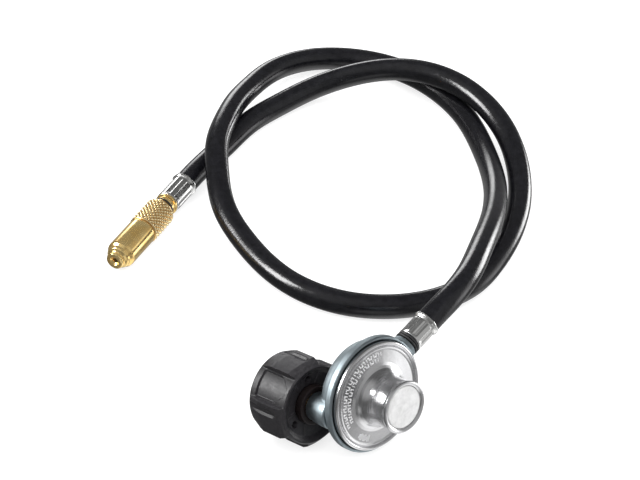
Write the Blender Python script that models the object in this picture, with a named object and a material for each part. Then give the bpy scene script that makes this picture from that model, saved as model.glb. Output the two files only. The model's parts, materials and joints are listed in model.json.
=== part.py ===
"""Propane regulator hose, at rest on a table.

Low-pressure regulator with a plastic handwheel nut on its inlet, a rubber gas hose lying in a
double loop, and a brass appliance plug with a knurled sleeve at the hose's far end.
Sizes below are in millimetres and become metres when a mesh or an empty is made.
"""

import math

import bmesh
import bpy
import numpy as np
from mathutils import Matrix, Vector

MM = 0.001
GAP = 0.3  # clearance between neighbouring pieces
COARSE, FINE = 18, 36  # sides of small and of large round pieces

# Regulator: its axis runs from the back of the body out through the cover.
RIM_FOOT = Vector((12.36, -2.65, 0.0))  # on the table, straight below the rim's centre
RIM_HEIGHT = 36.02  # rim centre above the table
TILT = math.radians(13.0)  # the cover looks up by this much
RIM_R = 36.5
LIP_R = 34.6  # inside of the rolled lip that holds the cover
SEAT_Z = 0.7  # diaphragm seat above the rim plane
DIAPHRAGM = 0.8
CAVITY_R, FLOOR_Z = 27.0, -9.5
BODY_BACK = -14.0
COVER_FOOT = SEAT_Z + 2 * GAP + DIAPHRAGM
BOSS_TOP = 28.7
BOSS_BORE_R = 13.4

# Inlet: its axis is parallel to the regulator's, beside the rim.
INLET_X = -28.0
NUT_FRONT_Z = -20.5  # front face of the handwheel nut
NUT_LENGTH = 31.5
NUT_BASE_R, LOBE_R = 25.0, 28.9
NUT_BORE_R = 16.9  # inside thread, 1-5/16 inch nominal
SHANK_R = 7.8
NECK_R = 9.75

# Valve train inside the body.
VALVE_Z, VALVE_R = -6.4, 2.5
PIVOT = Vector((-17.0, 0.0, -12.6))
PIN_R = 0.9

# Outlet: sideways from the body and a little up.
OUTLET_Z = -7.6
OUTLET_TURN = math.radians(16.2)  # from the regulator's local X towards its local Y
OUTLET_END = 40.7
FERRULE_R, LIP_FLARE_R = 8.2, 9.0
FERRULE_FROM, FERRULE_TO = 44.4, 61.2

# Hose: its route is chosen by hand, relative to the foot below the rim's centre.
HOSE_R = 8.0
HOSE_POINTS = 78
HOSE_ROUTE = [
    (-11.3, 59.1, 51), (-11.9, 68.7, 53.7), (-14.2, 84, 56), (-22, 106, 55), (-38, 134, 49.5),
    (-64.5, 174.5, 37.5), (-110.7, 227.3, 19), (-149.5, 257.6, 10.8), (-188, 279, 8.5), (-227, 288, 8.3),
    (-262, 285, 8.3), (-292, 269, 9), (-310, 243, 11.5), (-314, 214, 14.2), (-307, 187, 17.2),
    (-296, 162.5, 21.4), (-281, 138, 24.8), (-263.5, 114.5, 25.6), (-243.5, 96.5, 22.5),
    (-219, 79.5, 16), (-188, 69, 10.2), (-123.2, 63, 8.3), (-95.2, 73, 8.3), (-72.8, 91.5, 8.3),
    (-58, 115.5, 8.3), (-52.8, 144, 8.3), (-59.2, 173, 8.3), (-91, 232, 8.3), (-115.6, 257.4, 10.5),
    (-144.8, 276.2, 16), (-178.4, 285.1, 22.6), (-211, 283, 25.8), (-241, 270, 24.6),
    (-265, 249, 18.5), (-281, 222, 11.5), (-286, 193, 8.4), (-285, 164, 8.3), (-278, 137, 8.3),
    (-264.4, 92.7, 10.3), (-260.6, 81.8, 10.4),
]

# Appliance end, from the ferrule's lip outwards.
PLUG_DIRECTION = Vector((0.327, -0.945, 0.0)).normalized()
PLUG_LIP = Vector((-260.5, 81.5, 10.4))
PLUG_FERRULE = 23.6
NECK_END = 31.8
SLEEVE_R, SLEEVE_FROM, SLEEVE_TO = 10.25, 32.3, 57.3
BARREL_R, BARREL_TO, TIP = 9.85, 85.1, 94.5


# ---------------------------------------------------------------- helpers


def clear_scene():
    for obj in list(bpy.data.objects):
        bpy.data.objects.remove(obj, do_unlink=True)


def make_material(name, colour, metallic, roughness):
    material = bpy.data.materials.new(name)
    material.use_nodes = True
    shader = material.node_tree.nodes["Principled BSDF"]
    shader.inputs["Base Color"].default_value = (*colour, 1.0)
    shader.inputs["Metallic"].default_value = metallic
    shader.inputs["Roughness"].default_value = roughness
    return material


def frame(name, origin, matrix=None, parent=None):
    """Empty that other pieces are placed in; its columns are the local axes."""
    empty = bpy.data.objects.new(name, None)
    bpy.context.collection.objects.link(empty)
    empty.parent = parent
    turn = matrix if matrix is not None else Matrix.Identity(3)
    empty.matrix_basis = Matrix.Translation(Vector(origin) * MM) @ turn.to_4x4()
    return empty


def axes(x, y, z):
    return Matrix((x, y, z)).transposed()


def put(obj, parent, material, origin=(0, 0, 0)):
    bpy.context.collection.objects.link(obj)
    obj.parent = parent
    obj.location = Vector(origin) * MM
    if material is not None:
        obj.data.materials.append(material)
    return obj


def from_bmesh(name, bm, parent, material, origin=(0, 0, 0), sharp=35):
    """Closes a bmesh made in millimetres round the piece's origin into an object."""
    bmesh.ops.remove_doubles(bm, verts=bm.verts, dist=0.001)
    bmesh.ops.recalc_face_normals(bm, faces=bm.faces)
    bmesh.ops.scale(bm, vec=(MM, MM, MM), verts=bm.verts)
    mesh = bpy.data.meshes.new(name)
    bm.to_mesh(mesh)
    bm.free()
    mesh.shade_smooth()
    mesh.set_sharp_from_angle(angle=math.radians(sharp))
    return put(bpy.data.objects.new(name, mesh), parent, material, origin)


def lathe(name, outline, parent, material, steps=COARSE, origin=(0, 0, 0), ring=False):
    """Spins (radius, height) points round Z; a ring's outline closes on itself."""
    bm = bmesh.new()
    verts = [bm.verts.new((r, 0.0, z)) for r, z in outline]
    pairs = list(zip(verts, verts[1:]))
    if ring:
        pairs.append((verts[-1], verts[0]))
    edges = [bm.edges.new(pair) for pair in pairs]
    bmesh.ops.spin(
        bm, geom=verts + edges, cent=(0, 0, 0), axis=(0, 0, 1),
        angle=math.tau, steps=steps, use_merge=True,
    )
    return from_bmesh(name, bm, parent, material, origin)


def rod(name, radius, low, high, parent, material=None, steps=COARSE, origin=(0, 0, 0)):
    return lathe(
        name, [(0, high), (radius, high), (radius, low), (0, low)], parent, material, steps, origin
    )


def block(name, low, high, parent, material=None):
    bm = bmesh.new()
    bmesh.ops.create_cube(bm, size=1)
    low, high = Vector(low), Vector(high)
    bmesh.ops.scale(bm, vec=high - low, verts=bm.verts)
    bmesh.ops.translate(bm, vec=(low + high) / 2, verts=bm.verts)
    return from_bmesh(name, bm, parent, material)


def loft(name, rings, parent, material):
    """Skins equal rings of points; the last ring joins the first."""
    bm = bmesh.new()
    grid = [[bm.verts.new(point) for point in ring] for ring in rings]
    count = len(grid[0])
    for this, after in zip(grid, grid[1:] + grid[:1]):
        for i in range(count):
            j = (i + 1) % count
            bm.faces.new((this[i], this[j], after[j], after[i]))
    return from_bmesh(name, bm, parent, material)


def boolean(target, tool, operation):
    tool.hide_render = True
    tool.display_type = "WIRE"
    modifier = target.modifiers.new(tool.name, "BOOLEAN")
    modifier.operation = operation
    modifier.object = tool


def cut(target, *tools):
    for tool in tools:
        boolean(target, tool, "DIFFERENCE")


def add(target, *tools):
    for tool in tools:
        boolean(target, tool, "UNION")


def poly_curve(name, points, radius, resolution, parent, material):
    """Round wire or tube along points in millimetres."""
    curve = bpy.data.curves.new(name, "CURVE")
    curve.dimensions = "3D"
    curve.bevel_depth = radius * MM
    curve.bevel_resolution = resolution
    curve.use_fill_caps = True
    spline = curve.splines.new("POLY")
    spline.points.add(len(points) - 1)
    for target, point in zip(spline.points, points):
        target.co = (*(Vector(point) * MM), 1.0)
    spline.use_smooth = True
    return put(bpy.data.objects.new(name, curve), parent, material)


def coil(name, mean_r, wire_r, low, high, turns, parent, material, side=14):
    """Compression spring whose wire fits between two heights."""
    low, high = low + wire_r, high - wire_r
    count = turns * side
    points = []
    for i in range(count + 1):
        angle = math.tau * i / side
        height = low + (high - low) * i / count
        points.append((mean_r * math.cos(angle), mean_r * math.sin(angle), height))
    return poly_curve(name, points, wire_r, 0, parent, material)


def smooth_route(route, count):
    """Points at even parameter steps on the natural cubic spline through the route."""
    points = np.array(route, float)
    step = np.linalg.norm(np.diff(points, axis=0), axis=1)
    along = np.concatenate([[0.0], np.cumsum(step)])
    last = len(points) - 1
    system = np.eye(last + 1)
    right = np.zeros_like(points)
    for i in range(1, last):
        system[i, i - 1 : i + 2] = step[i - 1], 2 * (step[i - 1] + step[i]), step[i]
        after = (points[i + 1] - points[i]) / step[i]
        before = (points[i] - points[i - 1]) / step[i - 1]
        right[i] = 6 * (after - before)
    bend = np.linalg.solve(system, right)
    at = np.linspace(0.0, along[-1], count)
    i = np.clip(np.searchsorted(along, at, side="right") - 1, 0, last - 1)
    t = (at - along[i])[:, None]
    h = step[i][:, None]
    slope = (points[i + 1] - points[i]) / h - h * (2 * bend[i] + bend[i + 1]) / 6
    return points[i] + t * slope + t**2 * bend[i] / 2 + t**3 * (bend[i + 1] - bend[i]) / (6 * h)


# ---------------------------------------------------------------- regulator


def lower_body(reg, inlet_up, outlet, valve, pivot, zinc):
    """Cast bowl with its inlet elbow and neck, valve arm and outlet boss."""
    bowl = [
        (0, SEAT_Z), (LIP_R, SEAT_Z), (LIP_R, 2.6), (35.4, 3.0), (RIM_R, 2.2), (RIM_R, -2.0),
        (33.6, -3.6), (32.2, -8.5), (30.0, -12.0), (26.5, BODY_BACK), (0, BODY_BACK),
    ]
    body = lathe("lower_body", bowl, reg, zinc, FINE)
    dome_z, dome_height = -9.0, 7.5
    dome = [
        (NECK_R * math.sin(a), dome_z + dome_height * math.cos(a))
        for a in np.linspace(0, math.pi / 2, 6)
    ]
    neck_end = NUT_FRONT_Z + 0.9
    neck = lathe("neck_tool", dome + [(NECK_R, neck_end), (0, neck_end)], inlet_up, None, 24)
    arm = rod("arm_tool", 9.0, 0, 23, valve, steps=24, origin=(0, -10.0 - VALVE_Z, 0))
    boss = rod("boss_tool", 8.0, CAVITY_R - 5, OUTLET_END, outlet, steps=24)
    add(body, neck, arm, boss)
    cut(body, rod("cavity_tool", CAVITY_R, FLOOR_Z, 5.0, reg, steps=FINE))
    add(body, rod("guide_tool", 5.0, 0.4, 8.5, valve, steps=20))
    nipple_r = SHANK_R + GAP
    inlet_bore = [
        (0, -3.6), (3.6, -3.6), (3.6, -13.5), (nipple_r, -13.5), (nipple_r, -20.5), (0, -20.5),
    ]
    passage = lathe("inlet_bore_tool", inlet_bore, inlet_up, None, 20)
    valve_bore = rod("valve_bore_tool", VALVE_R + 0.4, 0.2, 9.5, valve, steps=16)
    trench = block("trench_tool", (-20.2, -1.6, -15.0), (-7.0, 1.6, -8.9), reg)
    pin_hole = rod("pin_hole_tool", PIN_R + GAP, -5.3, 5.3, pivot, steps=12)
    outlet_bore = [(0, 42.0), (6.1, 42.0), (6.1, 33.0), (4.6, 33.0), (4.6, 20.0), (0, 20.0)]
    gas_out = lathe("outlet_bore_tool", outlet_bore, outlet, None)
    cut(body, passage, valve_bore, trench, pin_hole, gas_out)


def upper_cover(reg, aluminium):
    """Pressed cover: bead at the rim, dished face, flared boss open at its end."""
    outline = [
        (15.0, BOSS_TOP), (16.0, 28.4), (16.4, 27.6), (16.2, 26.6), (15.6, 25.8), (15.6, 15.0),
        (16.6, 11.5), (19.0, 8.2), (22.2, 6.4), (25.0, 5.7), (30.6, 5.7), (32.2, 6.4),
        (33.5, 6.0), (34.2, 4.9), (34.2, COVER_FOOT), (30.5, COVER_FOOT), (29.8, 4.1),
        (24.5, 4.1), (20.8, 5.2), (17.2, 7.8), (14.4, 11.6), (BOSS_BORE_R, 15.0),
        (BOSS_BORE_R, 28.0), (13.9, BOSS_TOP),
    ]
    cover = lathe("upper_cover", outline, reg, aluminium, FINE, ring=True)
    vent_frame = frame("vent_frame", (0, 0, 20), axes((1, 0, 0), (0, 0, 1), (0, -1, 0)), reg)
    cut(cover, rod("vent_hole_tool", 1.8, 12.0, 18.0, vent_frame, steps=12))
    return vent_frame


def spring_chamber(reg, vent_frame, mats):
    """What the cover holds: cap, adjusting screw, main spring and vent screen."""
    plate_r = BOSS_BORE_R - GAP
    rod("adjuster_cap", plate_r, 26.4, 27.9, reg, mats["cap_plate"], FINE)
    screw = [
        (4.0, 25.4), (12.4, 25.4), (plate_r, 24.7), (plate_r, 22.7), (12.4, 22.0), (4.0, 22.0),
    ]
    lathe("adjusting_screw", screw, reg, mats["brass"], FINE, ring=True)
    plate_top = COVER_FOOT + 1.0
    coil("main_spring", 10.5, 1.1, plate_top + GAP, 22.0 - GAP, 5, reg, mats["spring_steel"])
    rod("vent_screen", 1.4, 14.0, 14.7, vent_frame, mats["spring_steel"], 12)


def diaphragm_group(reg, mats):
    """Diaphragm, its plate and post, and the relief spring on the post."""
    low = SEAT_Z + GAP
    post_r, plate_z = 2.6, COVER_FOOT
    sheet = [(33.9, low + DIAPHRAGM), (33.9, low), (3.0, low), (3.0, low + DIAPHRAGM)]
    lathe("diaphragm", sheet, reg, mats["rubber"], 24, ring=True)
    plate = [
        (19.0, plate_z + 1.0), (19.5, plate_z + 0.6), (19.5, plate_z), (post_r + GAP, plate_z),
        (post_r + GAP, plate_z + 1.0),
    ]
    lathe("diaphragm_plate", plate, reg, mats["zinc"], 24, ring=True)
    post_outline = [
        (0, 10.2), (2.2, 10.2), (post_r, 9.8), (post_r, low - GAP), (6.0, low - GAP), (6.0, -0.3),
        (post_r, -0.8), (post_r, -7.4), (0, -7.4),
    ]
    post = lathe("pusher_post", post_outline, reg, mats["brass"], 16)
    cut(post, block("post_slot_tool", (-4, -1.4, -6.5), (4, 1.4, -3.9), reg))
    coil("relief_spring", 3.6, 0.4, plate_z + 1.3, 8.0, 3, reg, mats["spring_steel"], 10)
    retainer = [(4.5, 9.3), (4.5, 8.3), (post_r + GAP, 8.3), (post_r + GAP, 9.3)]
    lathe("relief_retainer", retainer, reg, mats["brass"], 16, ring=True)


def lever_group(reg, valve, pivot, mats):
    """Pin, lever, valve holder with its seat disc, and the orifice they close."""
    rod("lever_pin", PIN_R, -5.0, 5.0, pivot, mats["spring_steel"], 12)
    side = [
        (-18.4, -14.0), (-11.2, -12.0), (-5.6, -5.8), (2.0, -5.8), (2.0, -4.6), (-6.2, -4.6),
        (-12.0, -10.6), (-16.1, -10.6), (-16.3, -4.6), (-17.7, -4.6), (-18.4, -10.6),
    ]
    bm = bmesh.new()
    verts = [bm.verts.new((z - PIVOT.z, x - PIVOT.x, -1.0)) for x, z in side]
    grown = bmesh.ops.extrude_face_region(bm, geom=[bm.faces.new(verts)])
    moved = [item for item in grown["geom"] if isinstance(item, bmesh.types.BMVert)]
    bmesh.ops.translate(bm, vec=(0, 0, 2.0), verts=moved)
    lever = from_bmesh("lever", bm, pivot, mats["zinc"])
    cut(lever, rod("lever_hole_tool", PIN_R + GAP, -2, 2, pivot, steps=12))
    holder = rod("valve_holder", VALVE_R, 5.7, 15.4, valve, mats["brass"], 16)
    slot = block("holder_slot_tool", (-18.2, -1.3, -12.0), (-15.8, 1.3, -1.0), reg)
    cut(holder, slot)
    rod("valve_seat_disc", VALVE_R - 0.1, 4.8, 5.4, valve, mats["rubber"], 16)
    bush = [(1.2, 4.1), (2.6, 2.9), (2.6, 1.5), (0.8, 1.5), (0.8, 4.1)]
    lathe("orifice", bush, valve, mats["brass"], 16, ring=True)


# ---------------------------------------------------------------- inlet


def angles_of_nut():
    """(degrees, share of the lobe's height) round the nut: per quarter a recess and a fluted lobe."""
    quarter = [
        (-66.0, 0.0), (-56.0, 0.0), (-46.0, 0.0), (-36.0, 0.0), (-26.0, 0.0),
        (-24.0, 1.0), (-12.5, 0.66), (-1.0, 0.55), (3.5, 0.55), (5.5, 0.25), (14.5, 0.25),
        (16.5, 0.82), (22.0, 1.0),
    ]
    return [(90.0 * k + angle, share) for k in range(4) for angle, share in quarter]


def handwheel_nut(inlet, plastic):
    """Hand nut: four lobes outside, a threaded cup behind and a web round the nipple."""

    def ring(height, base_r, lobe_r):
        points = []
        for degrees, share in angles_of_nut():
            angle = math.radians(degrees)
            radius = base_r + share * (lobe_r - base_r)
            points.append((-radius * math.sin(angle), radius * math.cos(angle), height))
        return points

    outside = [
        (0.0, NUT_BASE_R - 0.8, NUT_BASE_R - 0.8), (1.2, NUT_BASE_R, NUT_BASE_R),
        (2.0, NUT_BASE_R, LOBE_R - 1.7), (5.5, NUT_BASE_R, LOBE_R), (20.5, NUT_BASE_R, LOBE_R),
        (24.5, NUT_BASE_R, LOBE_R - 1.3), (28.5, NUT_BASE_R, NUT_BASE_R + 0.9),
        (31.0, NUT_BASE_R, NUT_BASE_R),
        (NUT_LENGTH, NUT_BASE_R - 0.6, NUT_BASE_R - 0.6),
    ]
    inside = [
        (NUT_LENGTH, NUT_BORE_R + 1.2), (NUT_LENGTH - 1.4, NUT_BORE_R), (11.0, NUT_BORE_R),
        (11.0, 11.5), (4.5, 11.5), (2.2, 21.5), (0.0, 22.6),
    ]
    rings = [ring(*section) for section in outside] + [ring(z, r, r) for z, r in inside]
    loft("handwheel_nut", rings, inlet, plastic)


def inlet_group(inlet, mats):
    """Nipple, bushing that lets the nut turn on it, and the flow check in its bore."""
    bush_r = SHANK_R + 0.4
    bushing = [
        (14.5, 12.5), (14.5, 11.3), (11.2, 11.3), (11.2, 4.2), (bush_r, 4.2), (bush_r, 12.5),
    ]
    lathe("thermal_bushing", bushing, inlet, mats["bushing_plastic"], 24, ring=True)
    bore_r, passage_r, step = 4.6, 2.5, 8.0
    nipple = [
        (bore_r, 27.0), (6.0, 27.0), (6.6, 26.4), (8.2, 21.5), (8.2, 15.2), (13.0, 15.2),
        (13.0, 12.8), (SHANK_R, 12.8), (SHANK_R, -6.6), (passage_r, -6.6), (passage_r, step),
        (bore_r, step),
    ]
    lathe("inlet_nipple", nipple, inlet, mats["brass"], 24, ring=True)
    head_r = bore_r - 0.5
    poppet = [(0, 24.2), (2.6, 24.2), (2.6, 16.4), (head_r, 15.6), (head_r, 13.5), (0, 13.5)]
    lathe("flow_check_poppet", poppet, inlet, mats["brass"], 16)
    coil("flow_check_spring", 3.4, 0.4, step + GAP, 13.5 - GAP, 3, inlet, mats["spring_steel"], 10)
    cage = [(bore_r - GAP, 26.3), (bore_r - GAP, 24.5), (2.0, 24.5), (2.0, 26.3)]
    lathe("flow_check_retainer", cage, inlet, mats["brass"], 16, ring=True)


# ---------------------------------------------------------------- outlet and hose


def ferrule(name, low, high, lip_low, parent, steel):
    """Crimped sleeve with a flared lip at the hose's side."""
    bore_r = 5.2
    flare = 1.8
    barrel = [(FERRULE_R - 0.5, 0.0), (FERRULE_R, 0.8), (FERRULE_R, high - low - flare)]
    mouth = [(LIP_FLARE_R, high - low - 0.9), (LIP_FLARE_R - 0.3, high - low), (bore_r, high - low)]
    outline = barrel + mouth + [(bore_r, 0.0)]
    if lip_low:
        placed = [(r, high - along) for r, along in outline]
    else:
        placed = [(r, low + along) for r, along in outline]
    lathe(name, placed, parent, steel, 24, ring=True)


def barb(root_r, low, high, count):
    """Saw-tooth outline of a hose barb from low to high, teeth towards high."""
    pitch = (high - low) / count
    points = []
    for i in range(count):
        points += [(root_r + 0.5, low + i * pitch), (root_r, low + (i + 1) * pitch - 0.2)]
    return points


def outlet_group(outlet, mats):
    """Barbed insert, two rings and the crimped ferrule at the regulator."""
    barbs = list(reversed(barb(4.2, FERRULE_FROM + 0.4, 60.5, 3)))
    insert = [(2.8, 60.5), *barbs, (4.7, 44.1), (5.8, 44.1), (5.8, 33.3), (2.8, 33.3)]
    lathe("outlet_nipple", insert, outlet, mats["brass"], ring=True)
    for name, low, outer in (("outlet_seal_inner", 41.0, 8.1), ("outlet_seal_outer", 42.7, 8.0)):
        ring = [(outer, low + 1.1), (outer, low + 0.3), (outer - 0.3, low), (6.1, low),
                (6.1, low + 1.4), (outer - 0.3, low + 1.4)]
        lathe(name, ring, outlet, mats["rubber"], 24, ring=True)
    ferrule("ferrule_regulator_end", FERRULE_FROM, FERRULE_TO, False, outlet, mats["steel"])


def hose(rubber):
    points = [Vector(point) + RIM_FOOT for point in smooth_route(HOSE_ROUTE, HOSE_POINTS)]
    poly_curve("hose", points, HOSE_R, 2, None, rubber)


def appliance_end(plug, mats):
    """Ferrule, nipple, snap ring, turning knurled sleeve and the plug with its gas bore."""
    ferrule("ferrule_appliance_end", 0.0, PLUG_FERRULE, True, plug, mats["steel"])
    collar_from, groove_from, groove_to = PLUG_FERRULE + GAP, 28.6, 31.0
    nipple = [
        (2.5, 40.0), (5.0, 40.0), (5.0, NECK_END), (7.4, NECK_END), (7.4, groove_to),
        (6.0, groove_to), (6.0, groove_from), (7.4, groove_from), (7.4, 25.8), (7.8, 25.4),
        (7.8, collar_from), (4.2, collar_from), *barb(4.2, 0.7, 23.1, 4)[::-1], (2.5, 0.7),
    ]
    lathe("appliance_nipple", nipple, plug, mats["brass"], ring=True)
    snap = [(8.2, 30.7), (8.2, 28.9), (6.3, 28.9), (6.3, 30.7)]
    lathe("sleeve_snap_ring", snap, plug, mats["spring_steel"], ring=True)
    sleeve = [
        (9.4, SLEEVE_TO), (SLEEVE_R, SLEEVE_TO - 0.8), (SLEEVE_R, SLEEVE_FROM + 2.0),
        (9.0, SLEEVE_FROM), (7.4, SLEEVE_FROM), (7.4, SLEEVE_TO),
    ]
    lathe("knurled_sleeve", sleeve, plug, mats["brass"], 24, ring=True)
    stem_r, gas_r = 7.0, 1.75
    body = [
        (gas_r, TIP), (5.6, TIP), (6.1, TIP - 0.5), (6.1, TIP - 2.4), (8.0, TIP - 4.2), (9.4, 86.5),
        (BARREL_R, BARREL_TO), (BARREL_R, SLEEVE_TO + 0.6), (9.4, SLEEVE_TO + GAP),
        (stem_r, SLEEVE_TO + GAP), (stem_r, 32.6), (5.3, 32.6), (5.3, 41.0), (gas_r, 41.0),
    ]
    lathe("plug_body", body, plug, mats["brass"], 24, ring=True)


def main():
    clear_scene()
    mats = {
        "zinc": make_material("zinc", (0.52, 0.58, 0.62), 1.0, 0.32),
        "aluminium": make_material("aluminium", (0.80, 0.80, 0.81), 1.0, 0.35),
        "cap_plate": make_material("cap_plate", (0.62, 0.62, 0.63), 1.0, 0.55),
        "steel": make_material("steel", (0.70, 0.70, 0.69), 1.0, 0.30),
        "spring_steel": make_material("spring_steel", (0.42, 0.42, 0.44), 1.0, 0.35),
        "brass": make_material("brass", (0.89, 0.66, 0.25), 1.0, 0.22),
        "black_plastic": make_material("black_plastic", (0.02, 0.02, 0.022), 0.0, 0.45),
        "bushing_plastic": make_material("bushing_plastic", (0.03, 0.02, 0.02), 0.0, 0.5),
        "rubber": make_material("black_rubber", (0.015, 0.015, 0.017), 0.0, 0.4),
        "hose_rubber": make_material("hose_rubber", (0.012, 0.012, 0.014), 0.0, 0.28),
    }
    out = Vector((math.cos(TILT), 0, math.sin(TILT)))
    up = Vector((-math.sin(TILT), 0, math.cos(TILT)))
    side = Vector((0, 1, 0))
    centre = RIM_FOOT + Vector((0, 0, RIM_HEIGHT))
    reg = frame("regulator", centre, axes(side, up, out))
    inlet_up = frame("inlet_up", (INLET_X, 0, 0), parent=reg)
    back = axes((-1, 0, 0), (0, 1, 0), (0, 0, -1))
    inlet = frame("inlet", (INLET_X, 0, NUT_FRONT_Z), back, reg)
    valve = frame("valve", (INLET_X, 0, VALVE_Z), axes((0, 1, 0), (0, 0, 1), (1, 0, 0)), reg)
    along = Vector((math.cos(OUTLET_TURN), math.sin(OUTLET_TURN), 0))
    across = Vector((-math.sin(OUTLET_TURN), math.cos(OUTLET_TURN), 0))
    outlet = frame("outlet", (0, 0, OUTLET_Z), axes(across, (0, 0, 1), along), reg)
    plug_side = Vector((0, 0, 1)).cross(PLUG_DIRECTION)
    plug = frame(
        "plug", RIM_FOOT + PLUG_LIP, axes(plug_side.cross(PLUG_DIRECTION), plug_side, PLUG_DIRECTION)
    )

    # Lever pivot: its Z is the pin's axis, the regulator's local Y.
    pivot = frame("pin_frame", PIVOT, axes((0, 0, 1), (1, 0, 0), (0, 1, 0)), reg)

    lower_body(reg, inlet_up, outlet, valve, pivot, mats["zinc"])
    vent_frame = upper_cover(reg, mats["aluminium"])
    spring_chamber(reg, vent_frame, mats)
    diaphragm_group(reg, mats)
    lever_group(reg, valve, pivot, mats)
    handwheel_nut(inlet, mats["black_plastic"])
    inlet_group(inlet, mats)
    outlet_group(outlet, mats)
    hose(mats["hose_rubber"])
    appliance_end(plug, mats)


main()
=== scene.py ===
"""Looks of the propane regulator hose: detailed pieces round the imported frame.

Lengths inside the shape functions are millimetres in a piece's own frame, whose Z is the axis
that the piece is turned round. They become metres when the mesh is made.
"""

import json
import math

import bmesh
import bpy
import numpy as np
from mathutils import Matrix, Vector


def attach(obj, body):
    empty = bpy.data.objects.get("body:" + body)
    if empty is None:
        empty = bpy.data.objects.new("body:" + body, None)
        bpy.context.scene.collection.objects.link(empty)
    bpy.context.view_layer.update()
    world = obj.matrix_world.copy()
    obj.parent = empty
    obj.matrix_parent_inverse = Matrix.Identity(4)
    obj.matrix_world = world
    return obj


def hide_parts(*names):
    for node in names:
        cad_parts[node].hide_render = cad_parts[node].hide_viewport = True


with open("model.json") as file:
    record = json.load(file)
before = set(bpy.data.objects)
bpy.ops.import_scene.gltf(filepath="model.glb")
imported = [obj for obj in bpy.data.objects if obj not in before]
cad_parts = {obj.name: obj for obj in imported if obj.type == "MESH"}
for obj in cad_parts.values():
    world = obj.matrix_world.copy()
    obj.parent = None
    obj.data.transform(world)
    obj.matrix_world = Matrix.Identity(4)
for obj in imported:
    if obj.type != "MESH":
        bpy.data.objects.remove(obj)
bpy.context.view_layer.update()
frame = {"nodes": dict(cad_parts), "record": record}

MM = 0.001
STEPS = 144  # facets round a large turned piece
SMALL_STEPS = 96

# The frame's own axes, from the joints of the record.
joints = {joint["name"]: joint for joint in frame["record"]["behaviour"]["joints"]}
OUT = -Vector(joints["nut_spin"]["axis"]).normalized()  # out through the cover
SIDE = Vector((0.0, 1.0, 0.0))
UP = OUT.cross(SIDE)
INLET_POINT = Vector(joints["nut_spin"]["pos_m"])
INLET_OFFSET = 28.0  # from the regulator's axis to the inlet's axis
CENTRE = INLET_POINT + SIDE * INLET_OFFSET * MM + OUT * 20.5 * MM  # middle of the rim plane
RIM_FOOT = Vector((CENTRE.x, CENTRE.y, 0.0))
OUTLET_TURN = math.radians(16.2)  # outlet's turn up from the side
OUTLET_DEPTH = 7.6  # outlet's axis behind the rim plane
OUTLET_AXIS = SIDE * math.cos(OUTLET_TURN) + UP * math.sin(OUTLET_TURN)
PLUG_AXIS = Vector(joints["sleeve_spin"]["axis"]).normalized()
PLUG_LIP = Vector(joints["sleeve_spin"]["pos_m"]) - PLUG_AXIS * 45.0 * MM

HOSE_R = 8.0
HOSE_POINTS = 420
# Hose's middle line, in millimetres from the floor under the rim's middle.
HOSE_ROUTE = [
    (-11.3, 59.1, 51), (-11.9, 68.7, 53.7), (-14.2, 84, 56), (-22, 106, 55), (-38, 134, 49.5),
    (-64.5, 174.5, 37.5), (-110.7, 227.3, 19), (-149.5, 257.6, 10.8), (-188, 279, 8.5),
    (-227, 288, 8.3),
    (-262, 285, 8.3), (-292, 269, 9), (-310, 243, 11.5), (-314, 214, 14.2), (-307, 187, 17.2),
    (-296, 162.5, 21.4), (-281, 138, 24.8), (-263.5, 114.5, 25.6), (-243.5, 96.5, 22.5),
    (-219, 79.5, 16), (-188, 69, 10.2), (-123.2, 63, 8.3), (-95.2, 73, 8.3), (-72.8, 91.5, 8.3),
    (-58, 115.5, 8.3), (-52.8, 144, 8.3), (-59.2, 173, 8.3), (-91, 232, 8.3), (-115.6, 257.4, 10.5),
    (-144.8, 276.2, 16), (-178.4, 285.1, 22.6), (-211, 283, 25.8), (-241, 270, 24.6),
    (-265, 249, 18.5), (-281, 222, 11.5), (-286, 193, 8.4), (-285, 164, 8.3), (-278, 137, 8.3),
    (-264.4, 92.7, 10.3), (-260.6, 81.8, 10.4),
]


# ---------------------------------------------------------------- frames and meshes


def pose(origin, x, y, z):
    """World matrix of a piece's frame."""
    turn = Matrix((x, y, z)).transposed().to_4x4()
    return Matrix.Translation(origin) @ turn


REGULATOR = pose(CENTRE, SIDE, UP, OUT)
INLET = pose(INLET_POINT, -SIDE, UP, -OUT)
OUTLET = pose(CENTRE - OUT * OUTLET_DEPTH * MM, OUT.cross(OUTLET_AXIS), OUT, OUTLET_AXIS)
PLUG_Y = Vector((0, 0, 1)).cross(PLUG_AXIS)
PLUG = pose(PLUG_LIP, PLUG_Y.cross(PLUG_AXIS), PLUG_Y, PLUG_AXIS)


def place(name, data, matrix, body, material, nodes=()):
    """Object in the scene, riding on its body and standing for the CAD nodes named."""
    obj = bpy.data.objects.new(name, data)
    bpy.context.collection.objects.link(obj)
    obj.matrix_world = matrix
    data.materials.append(material)
    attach(obj, body)
    if nodes:
        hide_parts(*nodes)
    return obj


def finish_mesh(name, bm, sharp=45):
    """Mesh in metres from a bmesh made in millimetres."""
    bmesh.ops.remove_doubles(bm, verts=bm.verts, dist=0.0005)
    bmesh.ops.recalc_face_normals(bm, faces=bm.faces)
    bmesh.ops.scale(bm, vec=(MM, MM, MM), verts=bm.verts)
    mesh = bpy.data.meshes.new(name)
    bm.to_mesh(mesh)
    bm.free()
    mesh.shade_smooth()
    mesh.set_sharp_from_angle(angle=math.radians(sharp))
    return mesh


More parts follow.
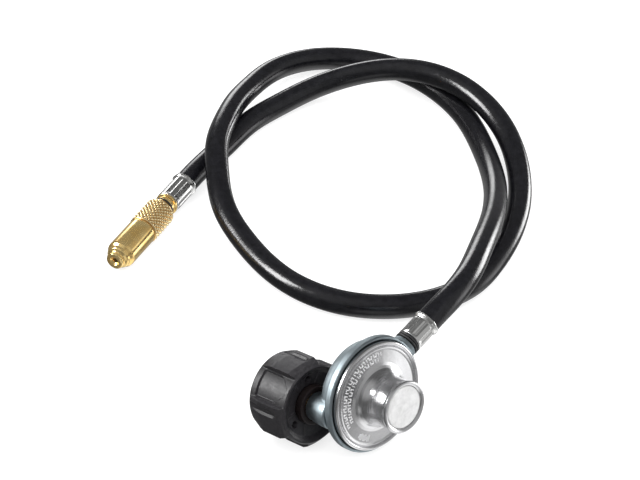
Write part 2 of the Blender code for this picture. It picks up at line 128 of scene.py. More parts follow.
def soften(outline, radius, closed=True, pieces=4):
    """Rounds each corner of an outline with a small arc no larger than its edges allow."""
    points = [Vector(point) for point in outline]
    count = len(points)
    rounded = []
    for i, corner in enumerate(points):
        if not closed and i in (0, count - 1):
            rounded.append(tuple(corner))
            continue
        before, after = points[i - 1] - corner, points[(i + 1) % count] - corner
        bend = before.angle(after, math.pi)
        wanted = radius / max(math.tan(bend / 2), 0.05)
        reach = min(wanted, 0.45 * before.length, 0.45 * after.length)
        if math.pi - bend < math.radians(4):
            rounded.append(tuple(corner))
            continue
        start, end = corner + before.normalized() * reach, corner + after.normalized() * reach
        for k in range(pieces + 1):
            t = k / pieces
            point = start * (1 - t) ** 2 + corner * (2 * t * (1 - t)) + end * t**2
            rounded.append(tuple(point))
    return rounded


def spin_into(bm, outline, steps, closed):
    """Adds the surface that (radius, height) points sweep once round Z to a bmesh."""
    verts = [bm.verts.new((r, 0.0, z)) for r, z in outline]
    pairs = list(zip(verts, verts[1:]))
    if closed:
        pairs.append((verts[-1], verts[0]))
    edges = [bm.edges.new(pair) for pair in pairs]
    bmesh.ops.spin(
        bm, geom=verts + edges, cent=(0, 0, 0), axis=(0, 0, 1),
        angle=math.tau, steps=steps, use_merge=True,
    )


def turned(name, outline, steps=STEPS, closed=True, sharp=45):
    """Solid of revolution round Z; an outline that isn't closed starts and ends on the axis."""
    bm = bmesh.new()
    spin_into(bm, outline, steps, closed)
    return finish_mesh(name, bm, sharp)


def skinned(name, rings, sharp=45):
    """Closed band through equal rings of points; the last ring joins the first."""
    rings = np.asarray(rings, float)
    count, around = rings.shape[:2]
    index = np.arange(count * around).reshape(count, around)
    right, below = np.roll(index, -1, axis=1), np.roll(index, -1, axis=0)
    corner = np.roll(right, -1, axis=0)
    faces = np.stack([index, right, corner, below], axis=-1).reshape(-1, 4)
    mesh = bpy.data.meshes.new(name)
    mesh.from_pydata((rings.reshape(-1, 3) * MM).tolist(), [], faces.tolist())
    bm = bmesh.new()
    bm.from_mesh(mesh)
    bmesh.ops.recalc_face_normals(bm, faces=bm.faces)
    bm.to_mesh(mesh)
    bm.free()
    mesh.shade_smooth()
    mesh.set_sharp_from_angle(angle=math.radians(sharp))
    return mesh


def smooth_route(route, count):
    """Points at even parameter steps on the natural cubic spline through the route."""
    points = np.array(route, float)
    step = np.linalg.norm(np.diff(points, axis=0), axis=1)
    along = np.concatenate([[0.0], np.cumsum(step)])
    last = len(points) - 1
    system = np.eye(last + 1)
    right = np.zeros_like(points)
    for i in range(1, last):
        system[i, i - 1 : i + 2] = step[i - 1], 2 * (step[i - 1] + step[i]), step[i]
        after = (points[i + 1] - points[i]) / step[i]
        before = (points[i] - points[i - 1]) / step[i - 1]
        right[i] = 6 * (after - before)
    bend = np.linalg.solve(system, right)
    at = np.linspace(0.0, along[-1], count)
    i = np.clip(np.searchsorted(along, at, side="right") - 1, 0, last - 1)
    t = (at - along[i])[:, None]
    h = step[i][:, None]
    slope = (points[i + 1] - points[i]) / h - h * (2 * bend[i] + bend[i + 1]) / 6
    return points[i] + t * slope + t**2 * bend[i] / 2 + t**3 * (bend[i + 1] - bend[i]) / (6 * h)


def ease(value, low, high):
    """Smooth step from 0 at low to 1 at high."""
    t = np.clip((value - low) / (high - low), 0.0, 1.0)
    return t * t * (3 - 2 * t)


# ---------------------------------------------------------------- materials


class Surface:
    """Principled material with a few node helpers."""

    def __init__(self, name, colour, metallic, roughness):
        self.material = bpy.data.materials.new(name)
        self.material.use_nodes = True
        self.tree = self.material.node_tree
        self.shader = self.tree.nodes["Principled BSDF"]
        self.shader.inputs["Base Color"].default_value = (*colour, 1.0)
        self.shader.inputs["Metallic"].default_value = metallic
        self.shader.inputs["Roughness"].default_value = roughness
        self.height = None

    def link(self, source, target):
        self.tree.links.new(source, target)

    def noise(self, scale, detail=3.0, stretch=(1, 1, 1), rough=0.5):
        """Noise over the piece's own coordinates; scale is in cells per metre."""
        nodes = self.tree.nodes
        place_in, mapping = nodes.new("ShaderNodeTexCoord"), nodes.new("ShaderNodeMapping")
        texture = nodes.new("ShaderNodeTexNoise")
        mapping.inputs["Scale"].default_value = stretch
        texture.inputs["Scale"].default_value = scale
        texture.inputs["Detail"].default_value = detail
        texture.inputs["Roughness"].default_value = rough
        self.link(place_in.outputs["Object"], mapping.inputs["Vector"])
        self.link(mapping.outputs["Vector"], texture.inputs["Vector"])
        return texture.outputs["Fac"]

    def off_axis(self):
        """Distance in metres from the piece's own Z axis."""
        nodes = self.tree.nodes
        place_in, flat = nodes.new("ShaderNodeTexCoord"), nodes.new("ShaderNodeVectorMath")
        length = nodes.new("ShaderNodeVectorMath")
        flat.operation, length.operation = "MULTIPLY", "LENGTH"
        flat.inputs[1].default_value = (1, 1, 0)
        self.link(place_in.outputs["Object"], flat.inputs[0])
        self.link(flat.outputs["Vector"], length.inputs[0])
        return length.outputs["Value"]

    def remap(self, source, low, high, start=0.3, end=0.7):
        """Numbers from low to high as the source goes from start to end."""
        node = self.tree.nodes.new("ShaderNodeMapRange")
        node.inputs["From Min"].default_value = start
        node.inputs["From Max"].default_value = end
        node.inputs["To Min"].default_value = low
        node.inputs["To Max"].default_value = high
        self.link(source, node.inputs["Value"])
        return node.outputs["Result"]

    def mix(self, source, dark, light, start=0.3, end=0.7):
        """Colour that goes from dark to light as the source goes from start to end."""
        ramp = self.tree.nodes.new("ShaderNodeValToRGB")
        ramp.color_ramp.elements[0].position = start
        ramp.color_ramp.elements[1].position = end
        ramp.color_ramp.elements[0].color = (*dark, 1.0)
        ramp.color_ramp.elements[1].color = (*light, 1.0)
        self.link(source, ramp.inputs["Fac"])
        return ramp.outputs["Color"]

    def drive(self, socket, source):
        self.link(source, self.shader.inputs[socket])

    def bump(self, source, depth):
        """Adds relief of that depth in metres to whatever relief is there."""
        node = self.tree.nodes.new("ShaderNodeBump")
        node.inputs["Strength"].default_value = 1.0
        node.inputs["Distance"].default_value = depth
        self.link(source, node.inputs["Height"])
        if self.height is not None:
            self.link(self.height, node.inputs["Normal"])
        self.height = node.outputs["Normal"]
        self.drive("Normal", self.height)


def zinc():
    surface = Surface("zinc", (0.50, 0.56, 0.60), 1.0, 0.3)
    clouds = surface.noise(110, 4)
    surface.drive("Base Color", surface.mix(clouds, (0.30, 0.35, 0.375), (0.40, 0.46, 0.49)))
    surface.drive("Roughness", surface.remap(surface.noise(350, 3), 0.46, 0.6))
    surface.bump(surface.noise(420, 4), 0.00005)
    return surface.material


def pressed_aluminium():
    surface = Surface("pressed_aluminium", (0.70, 0.70, 0.71), 1.0, 0.24)
    surface.drive("Roughness", surface.remap(surface.noise(260, 4), 0.15, 0.24))
    surface.bump(surface.noise(130, 2), 0.00009)
    surface.bump(surface.noise(1100, 2), 0.000004)
    return surface.material


def stamped_aluminium():
    surface = Surface("stamped_aluminium", (0.93, 0.93, 0.94), 0.7, 0.5)
    surface.drive("Roughness", surface.remap(surface.noise(260, 4), 0.45, 0.6))
    return surface.material


def cap_metal():
    surface = Surface("cap_metal", (0.8, 0.8, 0.8), 0.6, 0.5)
    clouds = surface.noise(300, 4)
    surface.drive("Base Color", surface.mix(clouds, (0.70, 0.70, 0.70), (0.84, 0.84, 0.84)))
    surface.drive("Roughness", surface.remap(surface.noise(900, 3), 0.45, 0.62))
    surface.bump(surface.noise(1800, 3), 0.00003)
    return surface.material


def crimped_steel():
    surface = Surface("crimped_steel", (0.78, 0.78, 0.77), 1.0, 0.22)
    surface.drive("Roughness", surface.remap(surface.noise(300, 4, (3, 3, 0.4)), 0.16, 0.32))
    surface.bump(surface.noise(420, 3, (3, 3, 0.12)), 0.0001)
    return surface.material


def spring_steel():
    surface = Surface("spring_steel", (0.16, 0.15, 0.14), 1.0, 0.35)
    surface.drive("Roughness", surface.remap(surface.noise(700, 3), 0.28, 0.45))
    return surface.material


def knurled_brass_painted_shade():
    """Brass coloured dark in the valleys of its knurl and light on its crests: painted shade in the
    valleys.
    """
    valley, ridge = 9.7 * MM, 10.4 * MM  # distances from the sleeve's axis
    surface = Surface("knurled_brass_painted_shade", (1.0, 0.76, 0.36), 0.92, 0.26)
    # painted shade: the colour darkens from the knurl's crests down into its valleys
    crest = surface.remap(surface.off_axis(), 0.0, 1.0, valley, ridge)
    colour = surface.mix(crest, (0.62, 0.36, 0.11), (1.0, 0.84, 0.50), 0.0, 1.0)
    surface.drive("Base Color", colour)
    return surface.material


def machined_brass():
    surface = Surface("machined_brass", (1.0, 0.72, 0.30), 0.92, 0.16)
    tone = surface.noise(120, 3)
    surface.drive("Base Color", surface.mix(tone, (0.97, 0.64, 0.22), (1.0, 0.78, 0.36)))
    surface.drive("Roughness", surface.remap(surface.noise(500, 3, (0.3, 0.3, 4)), 0.1, 0.22))
    surface.bump(surface.noise(900, 2, (0.15, 0.15, 5)), 0.00001)
    return surface.material


def black_plastic():
    surface = Surface("black_plastic", (0.02, 0.02, 0.022), 0.0, 0.42)
    mottle = surface.noise(700, 4)
    surface.drive("Base Color", surface.mix(mottle, (0.008, 0.0075, 0.0085), (0.018, 0.017, 0.019)))
    surface.shader.inputs["Specular IOR Level"].default_value = 0.4
    surface.drive("Roughness", surface.remap(surface.noise(500, 4), 0.38, 0.5))
    surface.bump(surface.noise(2600, 2), 0.00003)
    surface.bump(surface.noise(160, 3), 0.00006)
    return surface.material


def bushing_plastic():
    surface = Surface("bushing_plastic", (0.007, 0.005, 0.005), 0.0, 0.5)
    surface.shader.inputs["Specular IOR Level"].default_value = 0.25
    dark, light = (0.005, 0.0035, 0.0035), (0.009, 0.0065, 0.0065)
    surface.drive("Base Color", surface.mix(surface.noise(500, 3), dark, light))
    surface.bump(surface.noise(2000, 2), 0.00003)
    return surface.material


def seal_rubber():
    surface = Surface("seal_rubber", (0.014, 0.014, 0.015), 0.0, 0.45)
    surface.drive("Roughness", surface.remap(surface.noise(800, 3), 0.38, 0.55))
    surface.bump(surface.noise(1500, 3), 0.00003)
    return surface.material


def hose_rubber():
    surface = Surface("hose_rubber", (0.004, 0.004, 0.005), 0.0, 0.2)
    surface.shader.inputs["Specular IOR Level"].default_value = 0.5
    scuffs = surface.noise(240, 5, rough=0.65)
    surface.drive("Base Color", surface.mix(scuffs, (0.002, 0.002, 0.0025), (0.006, 0.006, 0.0075)))
    surface.drive("Roughness", surface.remap(surface.noise(300, 4), 0.15, 0.24))
    surface.bump(surface.noise(90, 2), 0.00008)
    surface.bump(surface.noise(800, 2), 0.00007)
    return surface.material


# ---------------------------------------------------------------- regulator


def body_rim(metal):
    """Rolled lip of the casting, round the cover."""
    outline = [
        (33.0, 0.8), (34.55, 0.8), (34.6, 2.4), (34.9, 2.9), (35.4, 3.0), (36.1, 2.6),
        (36.5, 1.8), (36.5, -1.6), (36.2, -2.3), (34.2, -3.6), (33.0, -3.6),
    ]
    mesh = turned("body_rim", soften(outline, 0.35), 192)
    return place("body_rim", mesh, REGULATOR, "regulator", metal)


def solid_into(bm, outline, matrix, steps=64):
    """Adds a turned solid, whose outline ends on its axis, to a bmesh in the matrix's place."""
    start = len(bm.verts)
    spin_into(bm, outline, steps, closed=False)
    bm.verts.ensure_lookup_table()
    bmesh.ops.transform(bm, matrix=matrix, verts=bm.verts[start:])


def body_casting(metal):
    """Bowl, inlet elbow and neck, valve arm and outlet boss, blended as one casting."""
    bm = bmesh.new()
    bowl = [
        (0, 0.4), (33.8, 0.4), (33.8, -3.2), (33.2, -4.4), (32.2, -8.5), (30.6, -11.6),
        (28.4, -13.4), (25.5, -14.0), (12.0, -14.0), (11.0, -14.4), (0, -14.4),
    ]
    solid_into(bm, bowl, Matrix.Identity(4), 160)
    neck = [
        (0, -2.6), (9.4, -2.6), (10.1, -3.4), (10.1, -8.0), (9.4, -14.5), (9.0, -17.4),
        (9.0, -19.5), (8.2, -19.5), (8.2, -19.0), (0, -19.0),
    ]
    solid_into(bm, neck, Matrix.Translation((-INLET_OFFSET, 0, 0)))
    arm = [(0, 24), (6, 23.4), (9, 20.5), (9, 0), (0, 0)]
    arm_turn = Matrix(((0, 0, 1), (1, 0, 0), (0, 1, 0))).to_4x4()
    solid_into(bm, arm, Matrix.Translation((-INLET_OFFSET, 0, -10)) @ arm_turn)
    boss = [(0, 40.7), (7.7, 40.7), (8.0, 40.3), (8.0, 37.6), (9.2, 35.5), (9.2, 20), (0, 20)]
    boss_turn = (REGULATOR.inverted() @ OUTLET).to_3x3().to_4x4()
    solid_into(bm, boss, Matrix.Translation((0, 0, -OUTLET_DEPTH)) @ boss_turn)
    mesh = finish_mesh("body_casting", bm, 180)
    obj = place("body_casting", mesh, REGULATOR, "regulator", metal, ["lower_body"])
    remesh = obj.modifiers.new("union", "REMESH")
    remesh.mode = "VOXEL"
    remesh.voxel_size = 0.55 * MM
    remesh.use_smooth_shade = True
    relax = obj.modifiers.new("relax", "SMOOTH")
    relax.factor = 0.6
    relax.iterations = 5
    return obj


DISH_START, DISH_END = (24.2, 6.0), (29.2, 5.35)  # (radius, height) of the dished face


def cover_profile():
    """(radius, height) outline of the pressed cover: bead, groove, dish, flare and boss."""
    flare = [
        (15.6, 25.2), (15.6, 16.0), (15.75, 14.3), (16.05, 12.7), (16.6, 11.0), (17.35, 9.3),
        (18.4, 7.8), (19.9, 6.8), (21.8, 6.25), DISH_START,
    ]
    bead = [
        (33.05 + 1.15 * math.cos(a), 4.85 + 1.15 * math.sin(a))
        for a in np.linspace(math.radians(165), 0, 12)
    ]
    outside = [
        (13.7, 28.1), (14.3, 28.5), (15.3, 28.75), (16.1, 28.5), (16.45, 27.8), (16.3, 26.9),
        (15.9, 26.2), *flare,
        DISH_END, (30.0, 5.45), (30.5, 5.75), (31.0, 5.5), (31.5, 4.5), (31.8, 4.5),
        *bead, (34.2, 2.2),
    ]
    inside = [
        (30.5, 2.2), (29.8, 4.0), (24.5, 4.4), (20.8, 5.3), (17.0, 7.9), (14.9, 11.6),
        (14.2, 15.0), (13.9, 20.0), (13.45, 27.7),
    ]
    return outside + inside


def cover_pressing(metal):
    mesh = turned("cover_pressing", soften(cover_profile(), 0.18, pieces=3), 192, sharp=60)
    return place("cover_pressing", mesh, REGULATOR, "regulator", metal, ["upper_cover"])


def stamp_bar(bm, radius, angle, across, along, height):
    """Small raised bar on the dish, sized across the face's radius and along its arc."""
    fall, run = DISH_END[1] - DISH_START[1], DISH_END[0] - DISH_START[0]
    face = DISH_START[1] + fall * (radius - DISH_START[0]) / run
    base = Matrix.Rotation(angle, 4, "Z") @ Matrix.Translation((radius, 0, face))
    tilt = Matrix.Rotation(-math.atan2(fall, run), 4, "Y")
    size = Matrix.Diagonal((across, along, height, 1))
    bmesh.ops.create_cube(bm, size=1, matrix=base @ tilt @ size)


def cover_stamps(metal):
    """Two arcs of plain raised bars and a hatch panel, where such covers are stamped."""
    thin, tall = 0.5, 0.9
    bm = bmesh.new()
    for radius, first, last, pitch in ((27.3, 74, 200, 4.1), (24.2, 80, 194, 4.7)):
        degrees, k = float(first), 0
        while degrees < last:
            length = (1.3, 0.8, 1.5, 1.0)[k % 4]
            angle = math.radians(degrees)
            stamp_bar(bm, radius, angle, 2.1, thin, tall)
            if k % 3:
                beside = radius + (0.8 if k % 2 else -0.8)
                stamp_bar(bm, beside, angle + math.radians(1.6), thin, length, tall)
            degrees += pitch
            k += 1
    for k in range(9):
        angle = math.radians(222 + 2.3 * k)
        stamp_bar(bm, 26.2, angle, 4.4 if k % 3 else 3.0, thin, 0.7)
    bmesh.ops.bevel(
        bm, geom=list(bm.edges), offset=0.1, segments=2, affect="EDGES", profile=0.5
    )
    mesh = finish_mesh("cover_stamps", bm, 50)
    return place("cover_stamps", mesh, REGULATOR, "regulator", metal)


def cap_disc(metal):
    outline = [(0, 28.15), (12.6, 28.05), (13.2, 27.8), (13.25, 26.4), (0, 26.4)]
    mesh = turned("cap_disc", soften(outline, 0.25, closed=False), STEPS, closed=False)
    return place("cap_disc", mesh, REGULATOR, "regulator", metal, ["adjuster_cap"])


# ---------------------------------------------------------------- handwheel nut

NUT_LENGTH = 31.5
NUT_R, LOBE_RISE = 25.0, 3.9
# Degrees in each quarter of the nut, which starts with its recess.
QUARTER_START = -67.0
RECESS_MIDDLE, RECESS_HALF = -46.0, 20.0
LOBE_START, LOBE_END = -25.0, 23.0
FLUTE_MIDDLE, FLUTE_HALF = 10.0, 5.8
WEB_R = 23.0  # dished front face
WEB_HOLES = (-115.5, 4.5, 124.5)  # degrees round the front face
WEB_HOLE_R = 16.6  # from the nut's axis


def nut_radius(degrees, behind):
    """Outer radius of the nut, at angles and a distance behind its front face."""
    around = (degrees - QUARTER_START) % 90.0 + QUARTER_START
    lobe = ease(around, LOBE_START, LOBE_START + 1.6) * (1 - ease(around, LOBE_END - 1.6, LOBE_END))
    middle = (2 * around - LOBE_START - LOBE_END) / (LOBE_END - LOBE_START)
    lobe = lobe * (1 - 0.45 * (1 - middle**2))
    share = ((1.1, 0), (2.0, 0.56), (5.5, 1), (20.5, 1), (24.5, 0.66), (28.5, 0.24), (30.8, 0))
    lobe = lobe * np.interp(behind, *zip(*share))

    across = (around - FLUTE_MIDDLE) / FLUTE_HALF
    arch = 5.0 + 3.0 * across**2
    flute = 0.62 * ease(1.0 - np.abs(across), 0.0, 0.5) * ease(behind, arch, arch + 2.2)

    across = (around - RECESS_MIDDLE) / RECESS_HALF
    arch = 3.0 + 8.5 * across**2
    pocket = ease(1.0 - np.abs(across), 0.0, 0.05) * ease(behind, arch, arch + 0.7)
    pocket = 1.3 * pocket * (1 - ease(behind, 26.0, 26.8))
    ends = 0.8 * (1 - ease(behind, 0.0, 0.9)) + 0.6 * ease(behind, 30.9, NUT_LENGTH)
    return NUT_R + LOBE_RISE * lobe * (1 - flute) - pocket - ends


def web_height(degrees, radius):
    """Depth of the dished front face behind the nut's front edge."""
    dish = ((11.5, 4.9), (12.2, 4.4), (18.0, 3.3), (20.4, 2.6), (22.2, 0.9), (WEB_R, 0.35))
    depth = np.interp(radius, *zip(*dish))
    off_rib = np.abs((degrees % 60.0) - 30.0) * radius * math.pi / 180.0
    rib = 0.55 * (1 - ease(off_rib, 0.5, 0.9))
    depth = depth - rib * ease(radius, 12.0, 12.8) * (1 - ease(radius, 19.2, 20.0))
    for hole in WEB_HOLES:
        turn = np.radians(degrees - hole)
        apart = np.sqrt(radius**2 + WEB_HOLE_R**2 - 2 * radius * WEB_HOLE_R * np.cos(turn))
        depth = depth + 3.5 * (1 - ease(apart, 1.9, 2.4))
    return depth


def handwheel_grip(plastic):
    """Nut with fluted lobes, arched pockets, a dished front web and a threaded cup behind."""
    bore, thread = 11.5, 17.9
    angles = np.arange(0, 360, 0.75)
    turn = np.radians(angles)

    def ring(height, radius):
        height, radius = (np.broadcast_to(value, angles.shape) for value in (height, radius))
        return np.stack([-radius * np.sin(turn), radius * np.cos(turn), height], 1)

    heights = np.concatenate([
        np.linspace(0, 3, 11), np.linspace(3.4, 12.6, 24), np.linspace(13.4, 25.6, 14),
        np.linspace(26.0, 27.0, 5), np.linspace(28.0, 30.8, 5), np.linspace(31.0, NUT_LENGTH, 4),
    ])
    rings = [ring(z, nut_radius(angles, z)) for z in heights]
    rings += [ring(z, r) for z, r in ((NUT_LENGTH, 19.4), (31.2, 18.6), (30.6, 18.1))]
    pitch, crest = 5.08, 0.9
    for k in range(4):
        top = 30.2 - k * pitch
        for drop, depth in ((0.0, 0.0), (1.0, crest), (2.4, crest), (3.4, 0.0)):
            rings.append(ring(top - drop, thread - depth))
    bottom = ((11.3, 17.8), (11.0, 17.2), (11.0, 11.9), (10.7, bore), (5.3, bore))
    rings += [ring(z, r) for z, r in bottom]
    for radius in np.linspace(bore, WEB_R, 48):
        rings.append(ring(web_height(angles, radius), radius))
    rings.append(ring(0.1, 23.3))
    mesh = skinned("handwheel_grip", rings, 50)
    return place(
        "handwheel_grip", mesh, INLET, "handwheel", plastic, ["handwheel_nut"]
    )


def bushing_collar(plastic):
    """Flanged bushing between the nipple and the nut's front web."""
    outline = [
        (8.1, -0.4), (9.6, -0.4), (9.6, -1.2), (11.9, -1.2), (12.2, -0.9), (12.2, 3.3), (11.2, 4.1),
        (11.2, 11.3), (14.5, 11.3), (14.5, 12.5), (8.1, 12.5),
    ]
    mesh = turned("bushing_collar", soften(outline, 0.3, pieces=3), SMALL_STEPS)
    return place(
        "bushing_collar", mesh, INLET, "handwheel", plastic, ["thermal_bushing"]
    )


def inlet_probe(brass):
    """Nipple with its flange, tapered probe and bore."""
    outline = [
        (4.6, 27.0), (6.0, 27.0), (6.7, 26.3), (7.6, 23.6), (7.6, 22.9), (7.0, 22.6), (7.0, 21.9),
        (7.9, 21.6), (8.2, 21.0), (8.2, 15.3), (12.9, 15.2), (13.0, 12.8), (7.8, 12.8),
        (7.8, -6.6), (2.5, -6.6), (2.5, 8.0), (4.6, 8.0),
    ]
    mesh = turned("inlet_probe", soften(outline, 0.3, pieces=3), SMALL_STEPS)
    return place("inlet_probe", mesh, INLET, "regulator", brass, ["inlet_nipple"])


# ---------------------------------------------------------------- outlet and hose


def stacked(rings, turn):
    """Points of (height, radii) rings, at angles round Z in radians."""
    return [
        np.stack([radii * np.cos(turn), radii * np.sin(turn), np.full(turn.shape, height)], 1)
        for height, radii in rings
    ]


def crimped_sleeve(name, length, matrix, steel, node, lip_first):
    """Ferrule pressed by eight jaws: flats along it, a groove and a scalloped, flared lip."""
    turn = np.radians(np.arange(0, 360, 1.5))
    jaws = np.abs(np.cos(4 * turn))
    crimp_end = length - 4.4
    rings = []
    for along in np.concatenate([
        np.linspace(0, 1.2, 4), np.linspace(1.6, length - 4.6, 14),
        np.linspace(length - 4.3, length, 16),
    ]):
        pressed = ease(along, 0.8, 2.2) * (1 - ease(along, crimp_end, length - 3.4))
        flat = 0.55 * pressed * (1 - ease(1 - jaws, 0.02, 0.42))
        radius = 8.2 - flat - 0.35 * (1 - ease(along, 0, 0.5))
        groove = ease(along, crimp_end, length - 3.6)
        groove = groove * (1 - ease(along, length - 3.2, length - 1.6))
        flare = ease(along, length - 3.0, length - 0.7)
        radius = radius - 0.3 * groove + flare * (1.05 - 0.35 * jaws**2)
        rings.append((along, radius - 0.35 * ease(along, length - 0.5, length)))
    for along, radius in ((length, 8.1), (length - 1.2, 7.9), (length - 1.2, 5.2), (0.0, 5.2)):
        rings.append((along, np.full(turn.shape, radius)))
    if lip_first:
        rings = [(length - along, radius) for along, radius in rings]
    mesh = skinned(name, stacked(rings, turn), 60)
    return place(name, mesh, matrix, "regulator", steel, [node])


def outlet_rings(rubber):
    made = []
    for name, low, outer in (("outlet_seal_inner", 41.0, 8.2), ("outlet_seal_outer", 42.7, 8.1)):
        outline = [(outer, low + 0.1), (outer, low + 1.3), (6.1, low + 1.4), (6.1, low)]
        mesh = turned(name + "_ring", soften(outline, 0.5), SMALL_STEPS)
        made.append(place(name + "_ring", mesh, OUTLET, "regulator", rubber, [name]))
    return made


def hose(rubber):
    """Rubber hose along its route."""
    points = [Vector(point) * MM + RIM_FOOT for point in smooth_route(HOSE_ROUTE, HOSE_POINTS)]
    curve = bpy.data.curves.new("gas_hose", "CURVE")
    curve.dimensions = "3D"
    curve.bevel_depth = HOSE_R * MM
    curve.bevel_resolution = 10
    curve.use_fill_caps = True
    spline = curve.splines.new("POLY")
    spline.points.add(len(points) - 1)
    for target, point in zip(spline.points, points):
        target.co = (*point, 1.0)
    spline.use_smooth = True
    obj = place("gas_hose", curve, Matrix.Identity(4), "regulator", rubber, ["hose"])


# ---------------------------------------------------------------- appliance plug


def plug_neck(brass):
    outline = [
        (2.5, 40.0), (5.0, 40.0), (5.0, 31.8), (7.4, 31.8), (7.4, 31.0), (6.0, 31.0),
        (6.0, 28.6), (7.0, 28.6), (7.0, 26.3), (6.6, 25.9), (7.9, 25.4), (7.9, 24.0),
        (4.2, 23.9), (4.2, 0.7), (2.5, 0.7),
    ]
    mesh = turned("plug_neck", soften(outline, 0.22, pieces=3), SMALL_STEPS)
    return place("plug_neck", mesh, PLUG, "regulator", brass, ["appliance_nipple"])


def knurled_grip(brass):
    """Sleeve with a fine crossed knurl between plain chamfers."""
    start, end, radius = 32.3, 57.3, 10.25
    around, pitch = 22, 3.2  # diamonds round the sleeve, and their length along it
    knurl_depth = 0.9
    turn = np.radians(np.linspace(0, 360, around * 18, endpoint=False))
    heights = np.concatenate([
        [start, start + 0.9, start + 1.8], np.arange(start + 2.0, end - 0.8, 0.15),
        [end - 0.7, end - 0.3, end],
    ])
    rings = []
    for height in heights:
        lead = math.pi * height / pitch
        cross = np.abs(np.sin(turn * around / 2 + lead) * np.sin(turn * around / 2 - lead))
        share = ease(height, start + 1.8, start + 2.6) * (1 - ease(height, end - 1.6, end - 0.9))
        plain = radius - 0.2 * share - 1.2 * (1 - ease(height, start, start + 2.0))
        plain = plain - 0.7 * ease(height, end - 0.8, end)
        rings.append((height, plain + share * knurl_depth * (cross - 0.45)))
    rings += [(height, np.full(turn.shape, 7.4)) for height in (end, start)]
    mesh = skinned("knurled_grip", stacked(rings, turn), 60)
    return place("knurled_grip", mesh, PLUG, "coupling_sleeve", brass, ["knurled_sleeve"])


def plug_barrel(brass):
    """Smooth barrel, stepped nose and tip ring with its gas bore."""
    outline = [
        (1.75, 92.8), (3.1, 94.3), (4.9, 94.5), (5.8, 94.1), (6.15, 93.3), (6.0, 92.2), (5.5, 91.5),
        (6.0, 90.9), (7.5, 90.2), (8.1, 89.3), (8.2, 87.9), (8.7, 87.3), (9.5, 86.4),
        (9.85, 84.9), (9.85, 59.0), (9.5, 58.4), (9.5, 57.6), (7.0, 57.6), (7.0, 32.6),
        (5.3, 32.6), (5.3, 41.0), (1.75, 41.0),
    ]
    mesh = turned("plug_barrel", soften(outline, 0.35, pieces=3), STEPS)
    return place("plug_barrel", mesh, PLUG, "regulator", brass, ["plug_body"])


def snap_ring(steel):
    outline = [(7.8, 30.6), (7.8, 29.0), (6.3, 29.0), (6.3, 30.6)]
    mesh = turned("snap_ring", soften(outline, 0.4), SMALL_STEPS)
    return place("snap_ring", mesh, PLUG, "regulator", steel, ["sleeve_snap_ring"])


# ---------------------------------------------------------------- stage

CAMERA_TURN, CAMERA_RISE = math.radians(-44.1), math.radians(38.0)
CAMERA_DISTANCE, TARGET_HEIGHT = 1.6, 108.6 * MM
VIEW = Vector((
    math.cos(CAMERA_RISE) * math.cos(CAMERA_TURN),
    math.cos(CAMERA_RISE) * math.sin(CAMERA_TURN),
    math.sin(CAMERA_RISE),
))  # towards the camera
MIDDLE = RIM_FOOT + Vector((-62.3, 17.3, 0.0)) * MM
ROOM_LEVEL = 0.13
# Bright areas of the room: direction, inner and outer angle in degrees, brightness.
BRIGHT_AREAS = (
    ((0.40, 0.14, -0.91), 14, 46, 1.1),
    ((0.57, 0.77, -0.29), 8, 19, 1.1),
    ((0.47, 0.88, -0.09), 5, 22, 1.0),
    ((0.05, 0.986, -0.156), 8, 15, 8.0),
    ((-0.82, 0.55, 0.156), 4, 13, 4.5),
    ((0.64, -0.69, -0.34), 8, 22, 0.5),
    ((-0.57, 0.55, -0.5), 20, 50, 0.2),
    ((0.88, 0.32, 0.34), 10, 60, 0.3),
    ((-0.22, -0.6, 0.77), 10, 50, 0.3),
)


def floor():
    """Pale, faintly glowing table. It is left out of reflections, so black parts stay black."""
    half = 6.0
    corners = [(-half, -half, 0), (half, -half, 0), (half, half, 0), (-half, half, 0)]
    mesh = bpy.data.meshes.new("floor")
    mesh.from_pydata(corners, [], [(0, 1, 2, 3)])
    surface = Surface("floor_white", (0.3, 0.3, 0.3), 0.0, 0.9)
    clouds = surface.noise(3, 2)
    surface.drive("Base Color", surface.mix(clouds, (0.29, 0.29, 0.29), (0.31, 0.31, 0.31)))
    surface.shader.inputs["Emission Color"].default_value = (1.0, 1.0, 1.0, 1.0)
    surface.shader.inputs["Emission Strength"].default_value = 0.75
    mesh.materials.append(surface.material)
    obj = bpy.data.objects.new("floor", mesh)
    bpy.context.collection.objects.link(obj)
    obj.visible_glossy = False


def softbox(name, direction, distance, size, radiance, in_reflections=True):
    """Rectangular light that faces the middle of the table."""
    away = Vector(direction).normalized()
    light = bpy.data.lights.new(name, "AREA")
    light.shape = "RECTANGLE"
    light.size, light.size_y = size
    light.energy = radiance * math.pi * size[0] * size[1]
    obj = bpy.data.objects.new(name, light)
    bpy.context.collection.objects.link(obj)
    obj.location = MIDDLE + away * distance
    obj.rotation_euler = (-away).to_track_quat("-Z", "Y").to_euler()
    obj.visible_glossy = in_reflections
    obj.visible_diffuse = not in_reflections


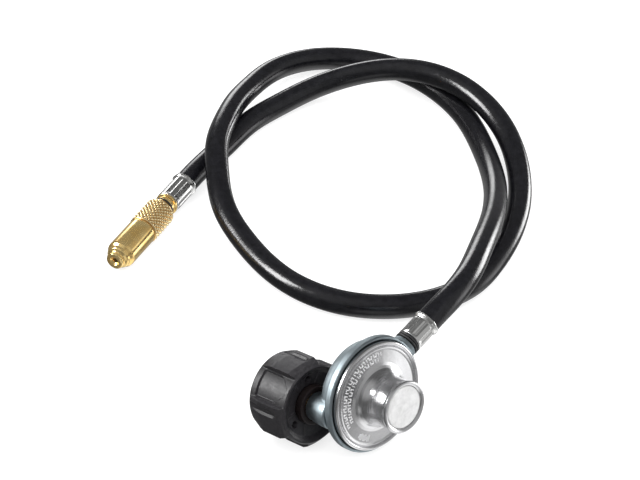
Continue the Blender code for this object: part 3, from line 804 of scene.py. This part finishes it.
def studio_world():
    """Dim room with broad bright areas; the camera itself sees a plain pale backdrop."""
    world = bpy.data.worlds.new("studio")
    bpy.context.scene.world = world
    world.use_nodes = True
    tree = world.node_tree
    room = tree.nodes["Background"]
    direction = tree.nodes.new("ShaderNodeTexCoord").outputs["Generated"]
    total = None
    for centre, inner, outer, strength in BRIGHT_AREAS:
        dot = tree.nodes.new("ShaderNodeVectorMath")
        dot.operation = "DOT_PRODUCT"
        dot.inputs[1].default_value = Vector(centre).normalized()
        tree.links.new(direction, dot.inputs[0])
        area = tree.nodes.new("ShaderNodeMapRange")
        area.interpolation_type = "SMOOTHSTEP"
        area.inputs["From Min"].default_value = math.cos(math.radians(outer))
        area.inputs["From Max"].default_value = math.cos(math.radians(inner))
        area.inputs["To Max"].default_value = strength
        tree.links.new(dot.outputs["Value"], area.inputs["Value"])
        if total is None:
            total = area.outputs["Result"]
        else:
            plus = tree.nodes.new("ShaderNodeMath")
            tree.links.new(total, plus.inputs[0])
            tree.links.new(area.outputs["Result"], plus.inputs[1])
            total = plus.outputs["Value"]
    level = tree.nodes.new("ShaderNodeMath")
    level.inputs[1].default_value = ROOM_LEVEL
    tree.links.new(total, level.inputs[0])
    tree.links.new(level.outputs["Value"], room.inputs["Strength"])
    room.inputs["Color"].default_value = (1.0, 1.0, 1.0, 1.0)
    backdrop = tree.nodes.new("ShaderNodeBackground")
    backdrop.inputs["Color"].default_value = (0.98, 0.98, 0.98, 1.0)
    mix = tree.nodes.new("ShaderNodeMixShader")
    rays = tree.nodes.new("ShaderNodeLightPath")
    tree.links.new(rays.outputs["Is Camera Ray"], mix.inputs["Fac"])
    tree.links.new(room.outputs["Background"], mix.inputs[1])
    tree.links.new(backdrop.outputs["Background"], mix.inputs[2])
    tree.links.new(mix.outputs["Shader"], tree.nodes["World Output"].inputs["Surface"])


def lighting():
    studio_world()
    softbox("left_side", (-0.629, -0.608, 0.485), 1.5, (0.55, 0.75), 20)
    softbox("overhead", (0, 0, 1), 1.8, (5, 5), 3.4, in_reflections=False)
    bpy.context.scene.view_settings.view_transform = "Standard"


def camera():
    """Long lens that looks down at a point above the middle of the hose loop."""
    lens = bpy.data.cameras.new("camera")
    lens.lens = 150.0
    lens.sensor_width = 36.0
    lens.clip_start, lens.clip_end = 0.05, 20
    obj = bpy.data.objects.new("camera", lens)
    bpy.context.collection.objects.link(obj)
    obj.location = MIDDLE + Vector((0, 0, TARGET_HEIGHT)) + VIEW * CAMERA_DISTANCE
    obj.rotation_euler = (-VIEW).to_track_quat("-Z", "Y").to_euler()
    bpy.context.scene.camera = obj


# ---------------------------------------------------------------- scene


def main():
    camera()
    floor()
    lighting()

    zinc_metal, aluminium, cap_plate = zinc(), pressed_aluminium(), cap_metal()
    steel, wire, brass = crimped_steel(), spring_steel(), machined_brass()
    plastic, bushing, rubber = black_plastic(), bushing_plastic(), seal_rubber()
    by_slot = {
        "zinc": zinc_metal, "cover": aluminium, "cap_plate": cap_plate, "steel": steel,
        "spring_steel": wire, "brass": brass, "black_plastic": plastic,
        "bushing_plastic": bushing, "rubber": rubber,
    }
    for part in frame["record"]["subparts"]:
        if part["material_slot"] in by_slot:
            materials = frame["nodes"][part["node"]].data.materials
            materials.clear()
            materials.append(by_slot[part["material_slot"]])

    body_casting(zinc_metal)
    body_rim(zinc_metal)
    cover_pressing(aluminium)
    cover_stamps(stamped_aluminium())
    cap_disc(cap_plate)
    handwheel_grip(plastic)
    bushing_collar(bushing)
    inlet_probe(brass)
    outlet_rings(rubber)
    behind_seals = OUTLET @ Matrix.Translation((0, 0, 44.4 * MM))
    crimped_sleeve(
        "ferrule_regulator", 16.8, behind_seals, steel, "ferrule_regulator_end", lip_first=False
    )
    far_pieces = [
        crimped_sleeve(
            "ferrule_appliance", 23.6, PLUG, steel, "ferrule_appliance_end", lip_first=True
        ),
        plug_neck(brass), snap_ring(wire), knurled_grip(knurled_brass_painted_shade()), plug_barrel(brass),
    ]
    hose(hose_rubber())


main()

bpy.context.view_layer.update()
